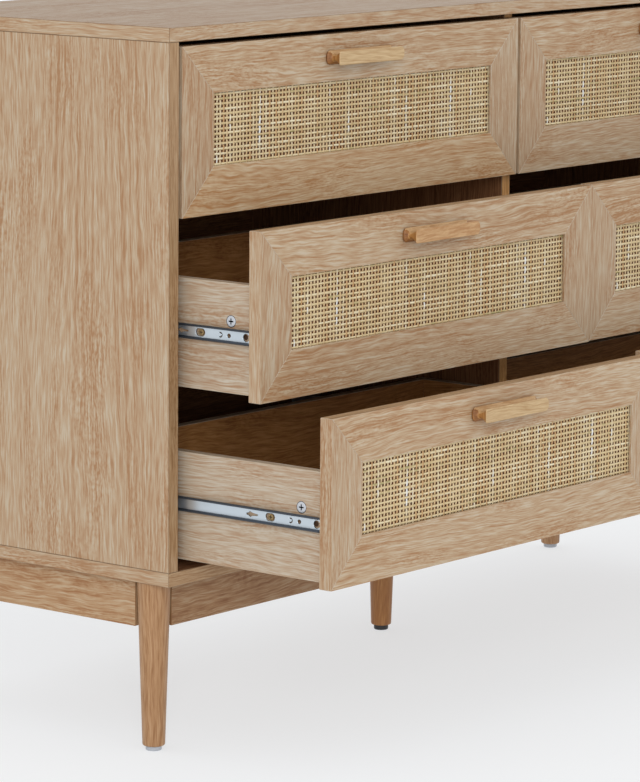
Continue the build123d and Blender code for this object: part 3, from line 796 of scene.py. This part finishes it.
def drawer_member(long):
    """One slide member in a bmesh: web at x = 0, open towards +x, front end at y = 0."""
    bm = bmesh.new()
    half = WEB_HALF / MM
    loops = closed_loop(bm, [(0, -half), (long / MM, -half), (long / MM, half), (0, half)])
    holes = [long_hole(*LONG_HOLE), long_hole(*FRONT_HOLE), long_hole(*SMALL_HOLE, 14), tab_slit()]
    holes.append(list(ARROW_HALF) + [(behind, -up) for behind, up in reversed(ARROW_HALF)])
    holes.append(long_hole(REAR_SCREW_AT, 0.0, 3.0, 16))
    for points in holes:
        loops += closed_loop(bm, points)
    bmesh.ops.triangle_fill(bm, use_beauty=True, use_dissolve=False, edges=loops)
    bmesh.ops.translate(bm, vec=(WEB_OUT, 0, 0), verts=bm.verts[:])
    grown = bmesh.ops.extrude_face_region(bm, geom=bm.faces[:])["geom"]
    bmesh.ops.translate(bm, vec=(SHEET, 0, 0), verts=[item for item in grown if isinstance(item, bmesh.types.BMVert)])
    outer_rims = [edge for edge in bm.edges if all(vert.co.x > WEB_OUT + SHEET * 0.5 for vert in edge.verts)
                  and len(edge.link_faces) == 2 and edge.calc_face_angle(0) > 1.0
                  and all(abs(vert.co.z) < WEB_HALF * 0.99 for vert in edge.verts)]
    bmesh.ops.bevel(bm, geom=outer_rims, offset=0.45 * MM, segments=1, affect="EDGES", profile=0.5, material=-1,
                    clamp_overlap=True)
    for way in (-1, 1):
        line = [bm.verts.new((out * MM, 0, up * way * MM)) for out, up in ROLL]
        line = [bm.edges.new(pair) for pair in zip(line, line[1:])]
        grown = bmesh.ops.extrude_edge_only(bm, edges=line)["geom"]
        bmesh.ops.translate(bm, vec=(0, long, 0), verts=[item for item in grown if isinstance(item, bmesh.types.BMVert)])
        strip = [item for item in grown if isinstance(item, bmesh.types.BMFace)]
        bmesh.ops.recalc_face_normals(bm, faces=strip)
        bmesh.ops.solidify(bm, geom=strip, thickness=0.8 * MM)
    # Flat dark discs just proud of the box side: painted shadow where the pilot holes show through.
    for behind, radius in PILOT_HOLE_SHADOWS:
        ring = closed_loop(bm, long_hole(behind, 0.0, radius, 16))
        shadow_disc = bmesh.ops.contextual_create(bm, geom=ring)["faces"]
        bmesh.ops.translate(bm, vec=(0.1 * MM, 0, 0), verts=shadow_disc[0].verts[:])
    bm.normal_update()
    # Rolled edges, sheet edges and hole walls take painted shade and dark reflection; the discs on the box side take
    # painted shadow.
    for face in bm.faces:
        middle = face.calc_center_median()
        if abs(middle.z) > WEB_HALF or abs(face.normal.x) < 0.3:
            face.material_index = 1
        elif middle.x < WEB_OUT * 0.5:
            face.material_index = 2
    return bm


def join_copy(target, source, place, mirror_x):
    """Add a copy of one bmesh to another, mirrored in x if asked and moved into place."""
    stage = bpy.data.meshes.new("part")
    source.to_mesh(stage)
    before = len(target.verts)
    target.from_mesh(stage)
    bpy.data.meshes.remove(stage)
    target.verts.ensure_lookup_table()
    verts = target.verts[before:]
    if mirror_x:
        bmesh.ops.scale(target, vec=(-1, 1, 1), verts=verts)
    bmesh.ops.translate(target, vec=place, verts=verts)


zinc_bright = zinc("zinc_bright", (0.620, 0.690, 0.750, 1), 0.26)
# Painted shade and painted dark reflection for the rolled edges and hole walls.
slide_painted_shade = zinc("slide_shade_and_reflection", (0.095, 0.115, 0.145, 1), 0.40)
# Painted shadow: near-black brown for the discs behind the slide holes.
pilot_hole_painted_shadow = grained_wood("pilot_hole_painted_shadow", (0.090, 0.045, 0.020, 1), (0.060, 0.028, 0.012, 1),
                           (0.035, 0.015, 0.006, 1), rough=0.8)
zinc_cam = zinc("cam_zinc", (0.640, 0.660, 0.700, 1), 0.34, (60.0, 60.0, 60.0))
yellow_zinc = zinc("screw_zinc", (0.360, 0.250, 0.120, 1), 0.32, (80.0, 80.0, 80.0))
for seed, drawer in enumerate(DRAWERS):
    low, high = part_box(drawer + "_slide_members")
    member = drawer_member(high[1] - low[1])
    bm = bmesh.new()
    middle_z = (low[2] + high[2]) / 2
    box_low, box_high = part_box(drawer + "_drawer_box")
    join_copy(bm, member, (box_low[0], low[1], middle_z), True)
    join_copy(bm, member, (box_high[0], low[1], middle_z), False)
    member.free()
    piece = hand_over(drawer + "_slide_channels", bm, drawer + "_drawer",
                      [zinc_bright, slide_painted_shade, pilot_hole_painted_shadow], [drawer + "_slide_members"], smooth=True)
    piece.data.set_sharp_from_angle(angle=math.radians(35))

for node_name in ["cabinet_slides", "carcass_fasteners"] + [drawer + "_ball_cages" for drawer in DRAWERS]:
    steel = bpy.data.objects[node_name]
    steel.data.materials.clear()
    steel.data.materials.append(zinc_bright)

# ---------------------------------------------------------------------------
# Drawer fixings. Zinc cam locks let into the box sides with a cross for the driver,
# yellow pan-head screws in the slides, and two screws into each handle.
# ---------------------------------------------------------------------------
CAM_R = 6.0 * MM
CAM_BACK = 27.5 * MM
CAM_UP = 14.5 * MM
CAM_DEEP = 9.5 * MM
CROSS_DEEP = 0.32 * MM
CAM_PROUD = 0.4 * MM
CAM_GAP_SHOWS = 0.08 * MM
SCREW_HEAD_R = 3.6 * MM
SCREW_HEAD_HIGH = 2.0 * MM
HANDLE_SCREW_SPAN = 64.0 * MM


def crossed_head(radius, high, deep, arm_wide, arm_long, dome):
    """A round head facing +x from x = 0, with a cross let into its face."""
    bm = bmesh.new()
    made = bmesh.ops.create_circle(bm, cap_ends=False, radius=radius, segments=32,
                                   matrix=Matrix.Rotation(math.pi / 2, 4, "Y"))
    rim = list({edge for vert in made["verts"] for edge in vert.link_edges})
    grown = bmesh.ops.extrude_edge_only(bm, edges=rim)["geom"]
    top = [item for item in grown if isinstance(item, bmesh.types.BMVert)]
    bmesh.ops.translate(bm, vec=(high - dome, 0, 0), verts=top)
    edge_ring = [item for item in grown if isinstance(item, bmesh.types.BMEdge)]
    for share in (0.5, 1.0):
        grown = bmesh.ops.extrude_edge_only(bm, edges=edge_ring)["geom"]
        top = [item for item in grown if isinstance(item, bmesh.types.BMVert)]
        edge_ring = [item for item in grown if isinstance(item, bmesh.types.BMEdge)]
        tip = math.sin(share * math.pi / 2)
        size = (1 - 0.28 * share ** 2) / (1 - 0.28 * (share - 0.5) ** 2)
        bmesh.ops.scale(bm, vec=(1, size, size), verts=top)
        bmesh.ops.translate(bm, vec=(high - dome + dome * tip - top[0].co.x, 0, 0), verts=top)
    arms = []
    for quarter in range(4):
        turn = Matrix.Rotation(math.pi / 2 * quarter, 3, "X")
        for y, z in ((arm_wide, arm_long), (-arm_wide, arm_long), (-arm_wide, arm_wide)):
            arms.append(bm.verts.new(turn @ Vector((high, y, z))))
    cross = [bm.edges.new((arms[k - 1], arms[k])) for k in range(len(arms))]
    bmesh.ops.triangle_fill(bm, use_beauty=True, use_dissolve=False, edges=edge_ring + cross)
    floor = bmesh.ops.extrude_edge_only(bm, edges=cross)["geom"]
    low_ring = [item for item in floor if isinstance(item, bmesh.types.BMEdge)]
    bmesh.ops.translate(bm, vec=(-deep, 0, 0), verts=[item for item in floor if isinstance(item, bmesh.types.BMVert)])
    bmesh.ops.contextual_create(bm, geom=low_ring)
    bmesh.ops.contextual_create(bm, geom=rim)
    bmesh.ops.remove_doubles(bm, verts=bm.verts[:], dist=0.000001)
    bmesh.ops.recalc_face_normals(bm, faces=bm.faces[:])
    for face in bm.faces:
        if face.normal.x > 0.9 and face.calc_center_median().x < high - deep * 0.9:
            face.material_index = 1
    return bm


recess_dark = zinc("recess_shadow", (0.060, 0.062, 0.068, 1), 0.5)
cam_head = crossed_head(CAM_R - 0.25 * MM, CAM_DEEP, CROSS_DEEP, 0.7 * MM, 3.1 * MM, 0.3 * MM)
# A dark disc a little wider than the cam, just proud of the box side: painted shadow in the gap round the cam.
cam_gap_shadow_disc = bmesh.new()
bmesh.ops.create_cone(cam_gap_shadow_disc, cap_ends=True, segments=32, radius1=CAM_R + 0.3 * MM, radius2=CAM_R + 0.3 * MM,
                      depth=2 * CAM_GAP_SHOWS, matrix=Matrix.Rotation(math.pi / 2, 4, "Y"))
for face in cam_gap_shadow_disc.faces:
    face.material_index = 1
pan_head = crossed_head(SCREW_HEAD_R, SCREW_HEAD_HIGH, 1.1 * MM, 0.45 * MM, 2.1 * MM, 0.8 * MM)
for drawer in DRAWERS:
    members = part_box(drawer + "_slide_members")
    box_low, box_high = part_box(drawer + "_drawer_box")
    handle_low, handle_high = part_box(drawer + "_handle")
    slide_z = (members[0][2] + members[1][2]) / 2
    cams = bmesh.new()
    screws = bmesh.new()
    for outer, facing_left in ((box_low[0], True), (box_high[0], False)):
        sunk = CAM_DEEP - CAM_PROUD
        join_copy(cams, cam_head, (outer + (sunk if facing_left else -sunk), box_low[1] + CAM_BACK, slide_z + CAM_UP),
                  facing_left)
        join_copy(cams, cam_gap_shadow_disc, (outer, box_low[1] + CAM_BACK, slide_z + CAM_UP), facing_left)
        for behind in (LONG_HOLE[0] * MM, REAR_SCREW_AT * MM):
            join_copy(screws, pan_head, (outer, members[0][1] + behind, slide_z), facing_left)
    hand_over(drawer + "_cams", cams, drawer + "_drawer", [zinc_cam, recess_dark], [drawer + "_fixings"])
    turn = Matrix.Rotation(math.pi / 2, 4, "Z")
    for way in (-1, 1):
        head = pan_head.copy()
        bmesh.ops.transform(head, matrix=turn, verts=head.verts[:])
        x = (handle_low[0] + handle_high[0]) / 2 + way * HANDLE_SCREW_SPAN / 2
        join_copy(screws, head, (x, box_low[1], (handle_low[2] + handle_high[2]) / 2), False)
        head.free()
    hand_over(drawer + "_screws", screws, drawer + "_drawer", [yellow_zinc, recess_dark],
              [drawer + "_fixings"])
cam_head.free()
cam_gap_shadow_disc.free()
pan_head.free()

# ---------------------------------------------------------------------------
# Studio. A wide pale floor, an even pale surround and a large soft box beside the
# camera.
# ---------------------------------------------------------------------------
FLOOR_HALF = 30.0
floor_mesh = bpy.data.meshes.new("floor")
bm = bmesh.new()
bmesh.ops.create_grid(bm, x_segments=1, y_segments=1, size=FLOOR_HALF)
bm.to_mesh(floor_mesh)
bm.free()
floor = bpy.data.objects.new("floor", floor_mesh)
bpy.context.scene.collection.objects.link(floor)
paper = bpy.data.materials.new("studio_paper")
paper.use_nodes = True
paper.node_tree.nodes["Principled BSDF"].inputs["Base Color"].default_value = (0.30, 0.30, 0.30, 1)
paper.node_tree.nodes["Principled BSDF"].inputs["Emission Color"].default_value = (0.955, 0.977, 1.0, 1)
paper.node_tree.nodes["Principled BSDF"].inputs["Emission Strength"].default_value = 0.632
paper.node_tree.nodes["Principled BSDF"].inputs["Roughness"].default_value = 0.9
paper.node_tree.nodes["Principled BSDF"].inputs["Specular IOR Level"].default_value = 0.1
floor_mesh.materials.append(paper)

world = bpy.data.worlds.new("studio")
world.use_nodes = True
world.node_tree.nodes["Background"].inputs["Color"].default_value = (1.0, 1.0, 1.0, 1)
world.node_tree.nodes["Background"].inputs["Strength"].default_value = 0.90
bpy.context.scene.world = world
bpy.context.scene.view_settings.view_transform = "Standard"

front_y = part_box("top_panel")[0][1]
corner = Vector((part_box("top_panel")[0][0], front_y, 0.0))
view_yaw = math.radians(51.437)
view_pitch = math.radians(9.088)
view_roll = math.radians(0.435)
camera_data = bpy.data.cameras.new("camera")
camera_data.lens = 193.6
camera_data.sensor_width = 36.0
camera_data.clip_end = 100.0
camera = bpy.data.objects.new("camera", camera_data)
bpy.context.scene.collection.objects.link(camera)
heading = Matrix.Rotation(-view_yaw, 4, "Z") @ Matrix.Rotation(math.pi / 2 - view_pitch, 4, "X")
camera.matrix_world = Matrix.Translation(corner + Vector((-3.2151, -2.7603, 1.0637))) @ heading @ Matrix.Rotation(
    view_roll, 4, "Z")
bpy.context.scene.camera = camera


def soft_box(name, place, aim, width, height, power):
    data = bpy.data.lights.new(name, "AREA")
    data.shape = "RECTANGLE"
    data.size, data.size_y = width, height
    data.energy = power
    lamp = bpy.data.objects.new(name, data)
    bpy.context.scene.collection.objects.link(lamp)
    way = (Vector(aim) - Vector(place)).normalized()
    lamp.matrix_world = Matrix.Translation(place) @ way.to_track_quat("-Z", "Y").to_matrix().to_4x4()
    return lamp


soft_box("camera_box", (-5.5, -4.4, 2.3), (-0.3, 0.0, 0.5), 1.3, 3.1, 168)
